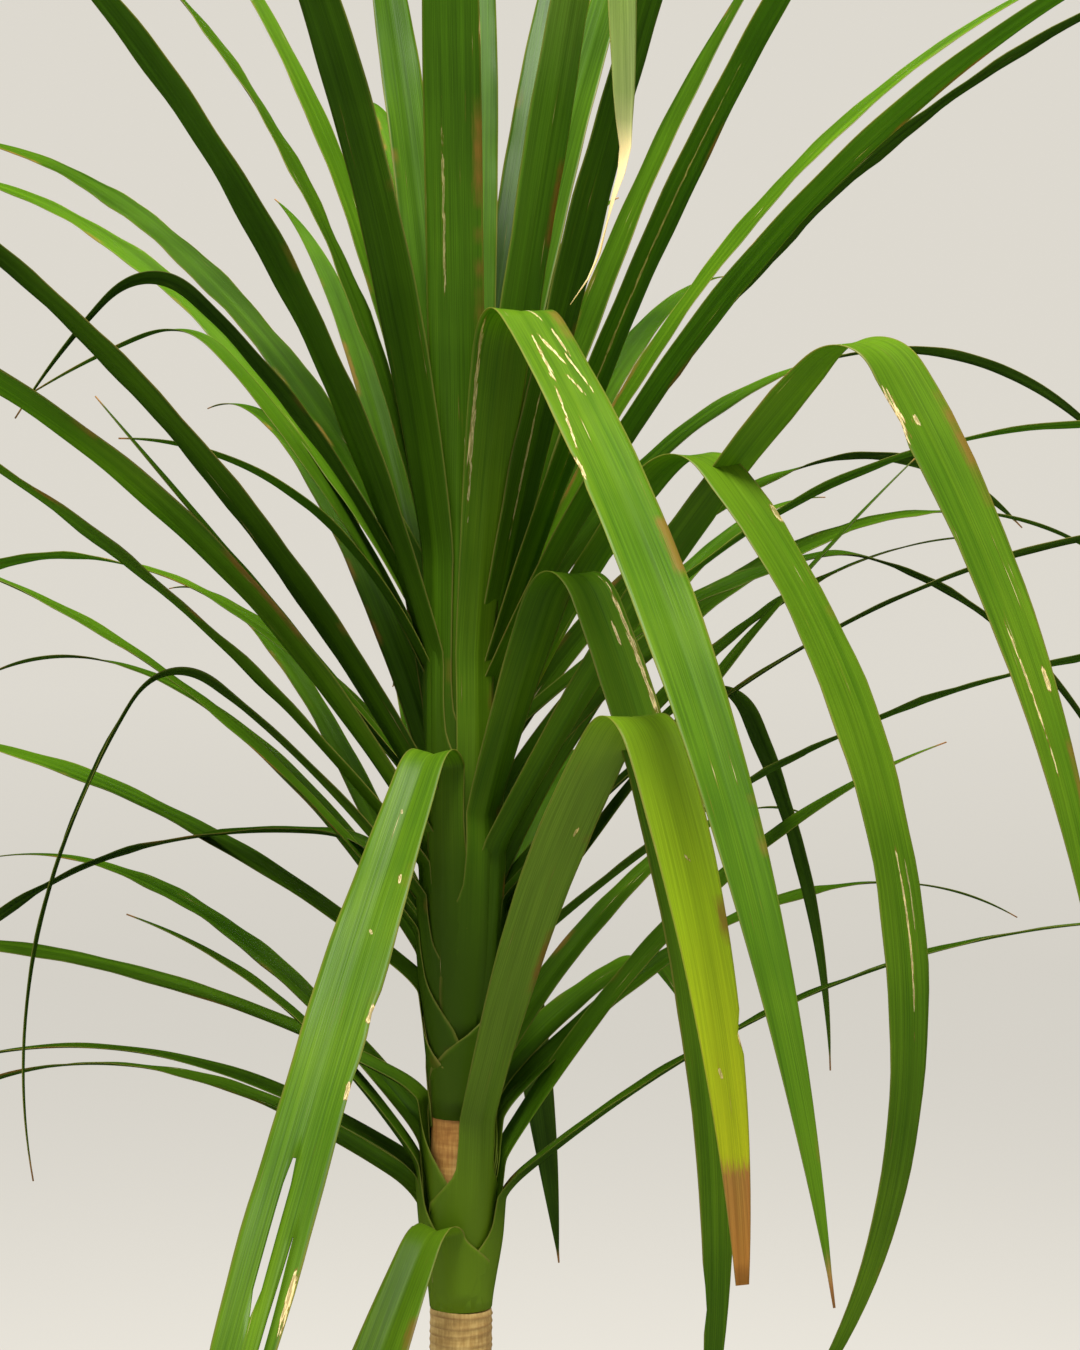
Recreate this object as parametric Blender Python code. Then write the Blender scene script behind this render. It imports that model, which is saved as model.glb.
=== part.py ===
# A potted dragon tree: a plain clay pot, the soil in it, a bare cane trunk and one head of strap leaves.
# Metres, +Z up. The origin is the centre of the pot's underside, and -Y is the side the viewer sees.

import math
import random
from collections import namedtuple

import bmesh
import bpy
from mathutils import Vector, noise

MM = 0.001
TOUCH_GAP = 0.3 * MM            # between pieces that rest against each other

# Pot
POT_HEIGHT = 0.240
POT_FOOT_RADIUS = 0.082
POT_RIM_RADIUS = 0.120
RIM_BAND_HEIGHT = 0.038
RIM_BAND_PROUD = 0.007
POT_WALL = 0.008
POT_FLOOR = 0.012
POT_EDGE = 0.0025               # rounding of the lip and the foot
POT_SIDES = 48
DRAIN_HOLES = 4
DRAIN_RADIUS = 0.006
DRAIN_CIRCLE = 0.045            # the drain holes' distance from the middle
DRAIN_SIDES = 16

# Soil
SOIL_BELOW_RIM = 0.026
SOIL_MOUND = 0.006              # how much higher the soil stands at the trunk than at the wall
SOIL_LUMPS = 0.0022
LUMPS_PER_METRE = 55
SOIL_RINGS = 6

# Trunk
TRUNK_TOP_RADIUS = 0.0158
TRUNK_FOOT_RADIUS = 0.0190
TRUNK_CLEAR = 0.412             # bare cane between the soil and the lowest leaf
TRUNK_PLANTED = 0.100
TRUNK_BOW = 0.007               # sideways bow of the cane at half its height
TRUNK_BOW_HEADING = 205
SCAR_PITCH = 0.0105             # one ring of leaf scars
SCAR_DEPTH = 0.0006
TRUNK_SIDES = 14

# Leafy stem, which the leaves grow from, and the leaves themselves
STEM_LENGTH = 0.330
STEM_FOOT_RADIUS = 0.0155
STEM_TIP_RADIUS = 0.0075
STEM_SIDES = 14
BUD_LENGTH = 0.075              # the rolled youngest leaves at the tip
# The stem is hidden by the clasping feet packed round it: (height, radius outside the feet)
FEET_OUTLINE = ((0.0, 0.0155), (0.045, 0.0175), (0.200, 0.0180), (0.300, 0.0165), (0.360, 0.0110))
BLADE_THICKNESS = 0.8 * MM
BLADE_EDGE = 0.6 * MM
FOOT_INSIDE = 4.0 * MM          # how far inside the stem's surface a blade's line starts
ROOT_SINK = 6.0 * MM            # how deep a blade's root is sunk among the feet
UPRIGHT = 87                    # slope of a leaf's foot, degrees
CLASP = 22                      # a leaf hugs the stem this far, mm, then leaves it
LEAVING = 55                    # length over which it bends away from the stem, mm
FOLD_SPAN = 60                  # length of blade in a fold, mm
NECK_WIDTH = 20                 # narrowest place, above the clasping foot, mm
FOOT_WIDTH = 26
FOOT_LENGTH = 60
WIDENS_FROM = 0.08              # shares of the leaf's length
WIDEST_FROM = 0.38
TAPER_FROM = 0.55
TAPER_POWER = 1.7               # above 1 keeps the blade broad, then brings it to a point
TIP_WIDTH = 1.5
DROOP_POWER = 1.5               # above 1 bends the outer part more than the inner
LINE_STEPS = 120                # points reckoned along a blade, from which its rings are picked
SEGMENTS_LEAST = 5
BEND_PER_SEGMENT = 38           # degrees of droop and fold that take one more segment
BEND_WEIGHT = 260               # mm of straight blade that a radian of bend counts for, in spacing rings
FOOT_ROLL = 90                  # how far the blade's section is rolled round the stem, degrees
BLADE_ROLL = 16

# One leaf a line. root: height of its foot above the lowest leaf, mm. heading: the way it grows out,
# degrees, 0 to the viewer's right and -90 towards the viewer. length and width: mm. rise: its slope as
# it leaves the stem. droop: how far it has bent down by its tip, all degrees. fold_at, fold: where the
# blade kinks over, mm, and by how much. lost: length of the dried tip that has broken off, mm.
Leaf = namedtuple("Leaf", "root heading length width rise droop fold_at fold lost", defaults=(0, 0, 0))

FRONT_LEAVES = (
    Leaf(228, -68, 810, 32, 82, 42, 280, 110),      # long pale one that hangs down in the middle
    Leaf(196, -109, 660, 33, 72, 15, 100, 118),     # torn one, lower left
    Leaf(34, -62, 595, 31, 64, 44, 325, 101, 90),   # yellowing one
    Leaf(180, -57, 680, 29, 67, 66, 224, 108),
    Leaf(212, -45, 730, 29, 59, 93, 275, 84),
    Leaf(168, -36, 745, 30, 60, 52, 400, 96),
    Leaf(272, -50, 620, 26, 79, 10, 430, 160),      # folds over above all the others
    Leaf(285, -92, 620, 29, 83, 18),
    Leaf(246, -38, 620, 28, 76, 12),
    Leaf(248, -28, 640, 28, 71, 25),
    Leaf(268, -133, 620, 29, 84, 38),
    Leaf(257, -145, 620, 29, 73, 48),
    Leaf(0, -113, 460, 32, 70, 30, 50, 110),        # lowest one, hanging against the trunk
)
RIGHT_LEAVES = (
    Leaf(255, 14, 640, 26, 69, 48),
    Leaf(250, -28, 640, 27, 65, 55),
    Leaf(255, -15, 650, 27, 66, 58),
    Leaf(255, 35, 640, 26, 60, 100),
    Leaf(200, -12, 640, 28, 60, 110),
    Leaf(215, 45, 620, 26, 52, 80),
    Leaf(230, 25, 560, 24, 44, 90, 300, 20),
    Leaf(192, 38, 620, 27, 47, 70),
    Leaf(150, 8, 600, 27, 48, 60),
    Leaf(116, -14, 620, 27, 44, 65),
    Leaf(15, 22, 410, 25, 57, 40),
    Leaf(148, 30, 480, 24, 49, 45, 245, 92),
    Leaf(5, -5, 480, 24, 42, 50),
    Leaf(50, 60, 335, 22, 30, 40, 250, 35),
    Leaf(20, 75, 400, 22, 55, 15, 180, 110),
    Leaf(112, 18, 430, 22, 54, 12),
)
LEFT_LEAVES = (
    Leaf(197, -140, 640, 29, 58, 48),
    Leaf(178, -150, 630, 28, 58, 62),
    Leaf(168, -160, 610, 27, 51, 42),
    Leaf(280, 150, 600, 25, 61, 60),
    Leaf(298, 140, 640, 25, 56, 50),
    Leaf(280, -165, 400, 24, 66, 40, 300, 85),
    Leaf(258, 165, 405, 24, 66, 35, 300, 60),
    Leaf(200, 150, 560, 24, 53, 105),
    Leaf(132, 175, 560, 25, 54, 62),
    Leaf(150, -165, 510, 26, 55, 65, 240, 90),
    Leaf(107, 155, 520, 24, 36, 45),
    Leaf(150, 160, 480, 25, 48, 80, 110, 35),
    Leaf(55, 165, 480, 24, 27, 45),
    Leaf(15, 178, 262, 22, 60, 40),
    Leaf(15, 165, 470, 24, 32, 80),
    Leaf(2, 150, 430, 22, 28, 60),
    Leaf(204, 178, 330, 25, 50, 0),
    Leaf(262, -172, 275, 22, 75, 75),
)
UPRIGHT_LEAVES = (
    Leaf(290, 88, 600, 22, 84, 15),
    Leaf(262, 72, 650, 29, 72, 12),
    Leaf(290, 55, 600, 26, 74, 15),
    Leaf(265, 35, 570, 26, 74, 25),
    Leaf(300, 150, 560, 22, 80, 35),
    Leaf(300, 160, 600, 26, 79, 50),
    Leaf(300, 115, 600, 24, 82, 25),
)

# The leaves of the far side follow the spiral that the plant grows by.
BACK_LEAVES = 18
BACK_SEED = 7
BACK_HEADINGS = (32, 150)
BACK_START = 106                # heading of the lowest of them, past the first
SPIRAL_STEP = 137.5
BACK_ROOTS = (20, 290)          # each pair: for the lowest of them, for the highest
BACK_LENGTHS = (500, 610)
BACK_RISES = (38, 72)
BACK_DROOPS = (62, 48)
BACK_WIDTH = 25

FLAT_ANGLE = 0.5                # faces of the joined crown within this angle count as one plane, degrees

# Looks: colour, roughness
CLAY = ((0.52, 0.22, 0.12, 1.0), 0.85)
EARTH = ((0.045, 0.030, 0.020, 1.0), 0.95)
CANE = ((0.48, 0.36, 0.22, 1.0), 0.75)
LEAF_GREEN = ((0.060, 0.170, 0.020, 1.0), 0.42)

SOIL_TOP = POT_HEIGHT - SOIL_BELOW_RIM
CROWN_FOOT = SOIL_TOP + SOIL_MOUND + TRUNK_CLEAR


def smooth(share):
    """A soft step from 0 to 1."""
    share = min(max(share, 0.0), 1.0)
    return share * share * (3.0 - 2.0 * share)


def material(name, look):
    colour, roughness = look
    made = bpy.data.materials.new(name)
    made.use_nodes = True
    shader = made.node_tree.nodes["Principled BSDF"]
    shader.inputs["Base Color"].default_value = colour
    shader.inputs["Roughness"].default_value = roughness
    shader.inputs["Metallic"].default_value = 0.0
    return made


def object_from(name, mesh_builder, look=None):
    """Turns a filled bmesh into an object with its faces pointing out."""
    bmesh.ops.recalc_face_normals(mesh_builder, faces=mesh_builder.faces)
    mesh = bpy.data.meshes.new(name)
    mesh_builder.to_mesh(mesh)
    mesh_builder.free()
    made = bpy.data.objects.new(name, mesh)
    bpy.context.scene.collection.objects.link(made)
    if look:
        mesh.materials.append(material(name, look))
    return made


def turned(profile, sides):
    """A solid of revolution round the Z axis, from (radius, height) points that start and end on the axis."""
    shape = bmesh.new()
    corners = [shape.verts.new((radius, 0.0, height)) for radius, height in profile]
    line = [shape.edges.new(pair) for pair in zip(corners, corners[1:])]
    bmesh.ops.spin(shape, geom=corners + line, cent=(0, 0, 0), axis=(0, 0, 1), dvec=(0, 0, 0),
                   angle=math.tau, steps=sides, use_merge=True, use_duplicate=False)
    bmesh.ops.remove_doubles(shape, verts=shape.verts, dist=0.00001)
    return shape


def wall_radius(height):
    """Outer radius of the pot's tapered wall."""
    return POT_FOOT_RADIUS + (POT_RIM_RADIUS - RIM_BAND_PROUD - POT_FOOT_RADIUS) * height / POT_HEIGHT


def inside_radius(height):
    return wall_radius(height) - POT_WALL


def make_pot():
    band_foot = POT_HEIGHT - RIM_BAND_HEIGHT
    inner_lip = inside_radius(POT_HEIGHT)
    profile = [
        (0.0, 0.0),
        (POT_FOOT_RADIUS - POT_EDGE, 0.0),
        (POT_FOOT_RADIUS, POT_EDGE),
        (wall_radius(band_foot), band_foot - POT_EDGE),
        (POT_RIM_RADIUS - POT_EDGE, band_foot),
        (POT_RIM_RADIUS, band_foot + POT_EDGE),
        (POT_RIM_RADIUS, POT_HEIGHT - POT_EDGE),
        (POT_RIM_RADIUS - POT_EDGE, POT_HEIGHT),
        (inner_lip + POT_EDGE, POT_HEIGHT),
        (inner_lip, POT_HEIGHT - POT_EDGE),
        (inside_radius(POT_FLOOR), POT_FLOOR),
        (0.0, POT_FLOOR),
    ]
    pot = object_from("pot", turned(profile, POT_SIDES), CLAY)
    for number in range(DRAIN_HOLES):
        drill_drain_hole(pot, math.tau * (number + 0.5) / DRAIN_HOLES)
    soften(pot)
    return pot


def drill_drain_hole(pot, angle):
    place = (DRAIN_CIRCLE * math.cos(angle), DRAIN_CIRCLE * math.sin(angle), POT_FLOOR / 2)
    bpy.ops.mesh.primitive_cylinder_add(vertices=DRAIN_SIDES, radius=DRAIN_RADIUS, depth=2 * POT_FLOOR,
                                        location=place)
    drill = bpy.context.object
    cut = pot.modifiers.new("drain_hole", "BOOLEAN")
    cut.operation = "DIFFERENCE"
    cut.object = drill
    apply_modifier(pot, cut)
    bpy.data.objects.remove(drill)


def apply_modifier(piece, modifier):
    bpy.ops.object.select_all(action="DESELECT")
    bpy.context.view_layer.objects.active = piece
    piece.select_set(True)
    bpy.ops.object.modifier_apply(modifier=modifier.name)


def soften(piece, angle=35):
    """Smooth shading that keeps edges sharper than the angle."""
    piece.data.shade_smooth()
    piece.data.set_sharp_from_angle(angle=math.radians(angle))


def soil_height(radius, angle):
    """The soil's uneven top: a low mound with lumps, level along the wall and the trunk."""
    reach = inside_radius(SOIL_TOP)
    share = (radius - TRUNK_FOOT_RADIUS) / (reach - TRUNK_FOOT_RADIUS)
    spot = Vector((radius * math.cos(angle), radius * math.sin(angle), 0.0)) * LUMPS_PER_METRE
    lumps = SOIL_LUMPS * noise.noise(spot) * math.sin(math.pi * min(max(share, 0.0), 1.0))
    return SOIL_TOP + SOIL_MOUND * (1.0 - smooth(share)) + lumps


def make_soil():
    hole = TRUNK_FOOT_RADIUS + TOUCH_GAP + SCAR_DEPTH
    hole_floor = SOIL_TOP + SOIL_MOUND - TRUNK_PLANTED - TOUCH_GAP
    rest = POT_FLOOR + TOUCH_GAP
    reach = inside_radius(SOIL_TOP) - TOUCH_GAP
    rings = [hole + (reach - hole) * number / (SOIL_RINGS - 1) for number in range(SOIL_RINGS)]
    profile = [(0.0, rest), (inside_radius(rest) - TOUCH_GAP, rest)]
    profile += [(radius, SOIL_TOP) for radius in reversed(rings)]
    profile += [(hole, hole_floor), (0.0, hole_floor)]
    shape = turned(profile, POT_SIDES)
    for corner in shape.verts:
        if corner.co.z > hole_floor + TOUCH_GAP:
            across, height = math.hypot(corner.co.x, corner.co.y), corner.co.z
            corner.co.z = soil_height(across, math.atan2(corner.co.y, corner.co.x)) + height - SOIL_TOP
    soil = object_from("soil", shape, EARTH)
    soften(soil, 50)
    return soil


def trunk_centre(height):
    """The cane bows a little to one side between the soil and the crown, and stands upright at both ends."""
    share = (height - SOIL_TOP - SOIL_MOUND) / TRUNK_CLEAR
    bow = TRUNK_BOW * math.sin(math.pi * share) ** 2 if 0.0 < share < 1.0 else 0.0
    heading = math.radians(TRUNK_BOW_HEADING)
    return Vector((bow * math.cos(heading), bow * math.sin(heading), height))


def trunk_radius(height):
    foot = SOIL_TOP + SOIL_MOUND - TRUNK_PLANTED
    share = (height - foot) / (CROWN_FOOT - foot)
    return TRUNK_FOOT_RADIUS + (TRUNK_TOP_RADIUS - TRUNK_FOOT_RADIUS) * share


def make_trunk():
    """A cane ringed by leaf scars: each ring is a ledge that the cane narrows under."""
    foot = SOIL_TOP + SOIL_MOUND - TRUNK_PLANTED
    scars = round(TRUNK_CLEAR / SCAR_PITCH)
    levels = [(foot, 0.0), (SOIL_TOP + SOIL_MOUND, 0.0)]
    for scar in range(scars):
        level = SOIL_TOP + SOIL_MOUND + SCAR_PITCH * (scar + 0.25)
        levels += [(level, SCAR_DEPTH), (level + 0.55 * SCAR_PITCH, -SCAR_DEPTH)]
    levels.append((CROWN_FOOT, 0.0))
    shape = bmesh.new()
    rings = []
    for height, proud in levels:
        centre, radius = trunk_centre(height), trunk_radius(height) + proud
        rings.append([shape.verts.new(centre + radius * Vector((math.cos(a), math.sin(a), 0.0)))
                      for a in turn_angles(TRUNK_SIDES)])
    skin(shape, rings)
    trunk = object_from("trunk", shape, CANE)
    soften(trunk, 60)
    return trunk


def turn_angles(sides):
    return [math.tau * side / sides for side in range(sides)]


def skin(shape, rings):
    """Joins rings of equal length with quads and closes both ends."""
    for lower, upper in zip(rings, rings[1:]):
        for side in range(len(lower)):
            after = (side + 1) % len(lower)
            shape.faces.new((lower[side], lower[after], upper[after], upper[side]))
    shape.faces.new(rings[0])
    shape.faces.new(rings[-1])


def stem_radius(height):
    """Radius of the leafy stem, at a height above its foot."""
    share = min(max(height / STEM_LENGTH, 0.0), 1.0)
    return STEM_FOOT_RADIUS + (STEM_TIP_RADIUS - STEM_FOOT_RADIUS) * share


def feet_radius(height):
    """Radius outside the packed feet, at a height above the lowest leaf; nothing past the bud."""
    for (below, wide), (above, narrow) in zip(FEET_OUTLINE, FEET_OUTLINE[1:]):
        if height <= above:
            return wide + (narrow - wide) * max(height - below, 0.0) / (above - below)
    return 0.0


def make_stem():
    base = CROWN_FOOT + TOUCH_GAP
    profile = [(0.0, base)] + [(radius, base + height) for height, radius in FEET_OUTLINE]
    profile.append((0.0, base + STEM_LENGTH + BUD_LENGTH))
    return object_from("crown", turned(profile, STEM_SIDES), LEAF_GREEN)


def between(ends, share):
    low, high = ends
    return low + (high - low) * share


def back_leaves():
    """The far side's leaves, one turn of the spiral after another up the stem."""
    draw = random.Random(BACK_SEED)
    first, last = BACK_HEADINGS
    leaves = []
    for number in range(BACK_LEAVES):
        share = (number + 0.5) / BACK_LEAVES
        heading = first + (BACK_START + number * SPIRAL_STEP) % (last - first)
        leaves.append(Leaf(
            root=round(between(BACK_ROOTS, share)),
            heading=round(heading),
            length=round(between(BACK_LENGTHS, share) + draw.uniform(-30, 30)),
            width=round(BACK_WIDTH + draw.uniform(-2, 3)),
            rise=round(between(BACK_RISES, share) + draw.uniform(-4, 4)),
            droop=round(between(BACK_DROOPS, share) + draw.uniform(-12, 12))))
    return leaves


def slope(leaf, along):
    """The blade's slope in degrees, at a distance in mm from its foot."""
    angle = UPRIGHT + (leaf.rise - UPRIGHT) * smooth((along - CLASP) / LEAVING)
    angle -= leaf.droop * (along / leaf.length) ** DROOP_POWER
    if leaf.fold:
        angle -= leaf.fold * smooth((along - leaf.fold_at) / FOLD_SPAN + 0.5)
    return angle


def blade_width(leaf, along):
    """The blade's width in mm: a wide clasping foot, a neck, a broad middle and a long taper."""
    share = along / (leaf.length + leaf.lost)
    if along < FOOT_LENGTH:
        body = FOOT_WIDTH + (NECK_WIDTH - FOOT_WIDTH) * smooth(along / FOOT_LENGTH)
    else:
        widening = smooth((share - WIDENS_FROM) / (WIDEST_FROM - WIDENS_FROM))
        body = NECK_WIDTH + (leaf.width - NECK_WIDTH) * widening
    tip = max(share - TAPER_FROM, 0.0) / (1.0 - TAPER_FROM)
    return max(body * (1.0 - tip ** TAPER_POWER), TIP_WIDTH)


def centre_line(leaf):
    """Points along the blade, in metres, with its slope: [(mm along, place, slope in radians)]."""
    heading = math.radians(leaf.heading)
    height = leaf.root * MM
    reach = stem_radius(height) - FOOT_INSIDE
    step = leaf.length / LINE_STEPS
    line = []
    for number in range(LINE_STEPS + 1):
        along = number * step
        place = Vector((reach * math.cos(heading), reach * math.sin(heading), CROWN_FOOT + height))
        line.append((along, place, math.radians(slope(leaf, along))))
        middle = math.radians(slope(leaf, along + step / 2))
        reach += step * MM * math.cos(middle)
        height += step * MM * math.sin(middle)
    return line[rooted(line):]


def rooted(line):
    """The last point of a blade's line that is still well inside the packed feet."""
    inside = 0
    for number, (along, place, angle) in enumerate(line):
        if place.xy.length < feet_radius(place.z - CROWN_FOOT) - ROOT_SINK:
            inside = number
    return inside


def ring_places(line, segments):
    """Picks points of the line so that rings crowd where the blade bends."""
    effort = [0.0]
    for before, after in zip(line, line[1:]):
        effort.append(effort[-1] + (after[0] - before[0]) + BEND_WEIGHT * abs(after[2] - before[2]))
    picked = []
    for number in range(segments + 1):
        wanted = effort[-1] * number / segments
        picked.append(min(range(len(line)), key=lambda spot: abs(effort[spot] - wanted)))
    return [line[spot] for spot in picked]


def blade_section(leaf, along, place, angle):
    """Six corners across the blade, three on the upper face and three on the lower."""
    heading = math.radians(leaf.heading)
    out = Vector((math.cos(heading), math.sin(heading), 0.0))
    side = Vector((-math.sin(heading), math.cos(heading), 0.0))
    over = Vector((0.0, 0.0, math.cos(angle))) - out * math.sin(angle)
    wrap = math.radians(BLADE_ROLL + (FOOT_ROLL - BLADE_ROLL) * (1.0 - smooth(along / FOOT_LENGTH)))
    bend_radius = blade_width(leaf, along) * MM / wrap
    half = bend_radius * math.sin(wrap / 2)
    lift = bend_radius * (1.0 - math.cos(wrap / 2))
    upper = [place + side * half + over * (lift + BLADE_EDGE / 2),
             place + over * BLADE_THICKNESS / 2,
             place - side * half + over * (lift + BLADE_EDGE / 2)]
    lower = [place + side * half + over * (lift - BLADE_EDGE / 2),
             place - over * BLADE_THICKNESS / 2,
             place - side * half + over * (lift - BLADE_EDGE / 2)]
    return upper, lower


def make_leaf(leaf, number):
    """One blade as a closed band of triangles, split alike on both faces."""
    shape = bmesh.new()
    rings = []
    segments = SEGMENTS_LEAST + round((leaf.droop + leaf.fold) / BEND_PER_SEGMENT)
    for along, place, angle in ring_places(centre_line(leaf), segments):
        upper, lower = blade_section(leaf, along, place, angle)
        rings.append(([shape.verts.new(p) for p in upper], [shape.verts.new(p) for p in lower]))
    for (upper, lower), (upper_next, lower_next) in zip(rings, rings[1:]):
        for face, face_next in ((upper, upper_next), (lower, lower_next)):
            for edge in (0, 2):
                shape.faces.new((face[1], face[edge], face_next[edge]))
                shape.faces.new((face[1], face_next[edge], face_next[1]))
        for edge in (0, 2):
            shape.faces.new((upper[edge], lower[edge], upper_next[edge]))
            shape.faces.new((lower[edge], lower_next[edge], upper_next[edge]))
    for upper, lower in (rings[0], rings[-1]):
        for edge in (0, 2):
            shape.faces.new((upper[1], upper[edge], lower[edge]))
            shape.faces.new((upper[1], lower[edge], lower[1]))
    return object_from("leaf_%02d" % number, shape)


def make_crown():
    """The leafy stem with every leaf fused to it by one union."""
    stem = make_stem()
    leaves = list(FRONT_LEAVES + RIGHT_LEAVES + LEFT_LEAVES + UPRIGHT_LEAVES) + back_leaves()
    bunch = bpy.data.collections.new("leaves")
    bpy.context.scene.collection.children.link(bunch)
    for number, leaf in enumerate(leaves):
        blade = make_leaf(leaf, number)
        bpy.context.scene.collection.objects.unlink(blade)
        bunch.objects.link(blade)
    join = stem.modifiers.new("leaves", "BOOLEAN")
    join.operation = "UNION"
    join.operand_type = "COLLECTION"
    join.collection = bunch
    join.solver = "MANIFOLD"
    apply_modifier(stem, join)
    for blade in list(bunch.objects):
        bpy.data.objects.remove(blade)
    bpy.data.collections.remove(bunch)
    tidy_union(stem)
    soften(stem, 40)
    return stem


def tidy_union(piece):
    """Drops loose scraps and sealed hollows, and joins faces that the union split in one plane."""
    shape = bmesh.new()
    shape.from_mesh(piece.data)
    shells = loose_shells(shape)
    largest = max(shells, key=len)
    scraps = [corner for shell in shells if shell is not largest for corner in shell]
    bmesh.ops.delete(shape, geom=scraps, context="VERTS")
    bmesh.ops.dissolve_limit(shape, angle_limit=math.radians(FLAT_ANGLE),
                             verts=shape.verts, edges=shape.edges)
    bmesh.ops.triangulate(shape, faces=shape.faces)
    shape.to_mesh(piece.data)
    shape.free()


def loose_shells(shape):
    """The mesh's corners, grouped by the separate shell that they belong to."""
    waiting = set(shape.verts)
    shells = []
    while waiting:
        shell, edge_of_search = [], [waiting.pop()]
        while edge_of_search:
            corner = edge_of_search.pop()
            shell.append(corner)
            for edge in corner.link_edges:
                other = edge.other_vert(corner)
                if other in waiting:
                    waiting.remove(other)
                    edge_of_search.append(other)
        shells.append(shell)
    return shells


def main():
    for old in list(bpy.data.objects):
        bpy.data.objects.remove(old)
    make_pot()
    make_soil()
    make_trunk()
    make_crown()


main()
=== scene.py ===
import math
import random
from collections import namedtuple

import bpy
import numpy as np
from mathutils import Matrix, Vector, noise


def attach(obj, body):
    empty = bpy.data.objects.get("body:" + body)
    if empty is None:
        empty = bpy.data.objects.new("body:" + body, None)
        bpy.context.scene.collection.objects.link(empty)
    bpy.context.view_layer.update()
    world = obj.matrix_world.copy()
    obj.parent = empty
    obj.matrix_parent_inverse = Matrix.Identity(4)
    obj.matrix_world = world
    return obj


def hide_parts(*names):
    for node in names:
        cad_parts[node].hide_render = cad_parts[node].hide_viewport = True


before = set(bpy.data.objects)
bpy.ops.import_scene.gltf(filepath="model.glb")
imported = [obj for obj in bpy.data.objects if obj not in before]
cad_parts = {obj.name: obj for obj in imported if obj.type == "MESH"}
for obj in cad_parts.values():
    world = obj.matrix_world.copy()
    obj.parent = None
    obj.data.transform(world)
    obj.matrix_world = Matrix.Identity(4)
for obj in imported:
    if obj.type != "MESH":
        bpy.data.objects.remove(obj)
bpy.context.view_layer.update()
MM = 0.001


# POT
# A plain terracotta pot, thrown on a wheel: a tapered wall, a plain band round the rim and four drain
# holes. The clay is unglazed, so it is chalky, shows faint turning lines and has pale lime marks low down.
POT_SIDES = 112
POT_RINGS = (
    (0.0785, 0.0000), (0.0806, 0.0003), (0.0817, 0.0012), (0.0821, 0.0030), (0.0860, 0.0320),
    (0.0923, 0.0800), (0.0985, 0.1280), (0.1047, 0.1760), (0.1076, 0.1975), (0.1084, 0.2003),
    (0.1103, 0.2016), (0.1160, 0.2021), (0.1184, 0.2029), (0.1197, 0.2046), (0.1200, 0.2070),
    (0.1202, 0.2210), (0.1200, 0.2345), (0.1196, 0.2370), (0.1184, 0.2389), (0.1165, 0.2398),
    (0.1110, 0.2399), (0.1080, 0.2394), (0.1062, 0.2381), (0.1054, 0.2360), (0.1048, 0.2300),
    (0.1020, 0.2100), (0.0900, 0.1180), (0.0770, 0.0180), (0.0745, 0.0135), (0.0710, 0.0120),
)
DRAIN_PLACES = [(0.045 * math.cos(a), 0.045 * math.sin(a)) for a in (0.785, 2.356, 3.927, 5.498)]


def pick(piece):
    bpy.ops.object.select_all(action="DESELECT")
    piece.select_set(True)
    bpy.context.view_layer.objects.active = piece


def apply_modifiers(piece):
    pick(piece)
    for modifier in list(piece.modifiers):
        bpy.ops.object.modifier_apply(modifier=modifier.name)


def turned_piece(name, rings, sides):
    """A solid drawn up from a filled circle: its top face is pulled to each ring in turn and resized."""
    bpy.ops.object.select_all(action="DESELECT")
    radius, height = rings[0]
    bpy.ops.mesh.primitive_circle_add(vertices=sides, radius=radius, fill_type="NGON", location=(0, 0, height))
    piece = bpy.context.object
    piece.name = name
    bpy.ops.object.transform_apply(location=True, rotation=True, scale=True)
    bpy.ops.object.mode_set(mode="EDIT")
    bpy.ops.mesh.select_all(action="SELECT")
    for wider, higher in rings[1:]:
        bpy.ops.mesh.extrude_region_move(TRANSFORM_OT_translate={"value": (0, 0, higher - height)})
        grow = wider / radius
        bpy.ops.transform.resize(value=(grow, grow, 1), center_override=(0, 0, higher))
        radius, height = wider, higher
    bpy.ops.mesh.select_all(action="SELECT")
    bpy.ops.mesh.normals_make_consistent(inside=False)
    bpy.ops.object.mode_set(mode="OBJECT")
    return piece


def add(tree, kind, sockets=None, **settings):
    """A shader node with its settings, and its sockets set to a value or joined to another node's output."""
    made = tree.nodes.new("ShaderNode" + kind)
    for name, value in settings.items():
        setattr(made, name, value)
    for name, value in (sockets or {}).items():
        if isinstance(value, bpy.types.NodeSocket):
            tree.links.new(value, made.inputs[name])
        else:
            made.inputs[name].default_value = value
    return made


def ramp(tree, factor, *stops):
    """Colours or greys that follow a factor: (place, colour) or (place, grey) pairs."""
    made = add(tree, "ValToRGB", {"Fac": factor})
    elements = made.color_ramp.elements
    while len(elements) < len(stops):
        elements.new(0.5)
    for element, (place, colour) in zip(elements, stops):
        element.position = place
        element.color = (*colour, 1.0) if isinstance(colour, tuple) else (colour, colour, colour, 1.0)
    return made.outputs["Color"]


def blend(tree, factor, first, second, how="MIX"):
    made = add(tree, "Mix", data_type="RGBA", blend_type=how)
    for place, value in ((0, factor), (6, first), (7, second)):
        if isinstance(value, bpy.types.NodeSocket):
            tree.links.new(value, made.inputs[place])
        elif place == 0:
            made.inputs[0].default_value = value
        else:
            made.inputs[place].default_value = (*value, 1.0)
    return made.outputs[2]


def sums(tree, how, first, second=0.0, clamp=False):
    return add(tree, "Math", {0: first, 1: second}, operation=how, use_clamp=clamp).outputs[0]


def grain(tree, place, scale, detail=4.0, roughness=0.55):
    return add(tree, "TexNoise", {"Vector": place, "Scale": scale, "Detail": detail, "Roughness": roughness}).outputs["Fac"]


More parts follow.
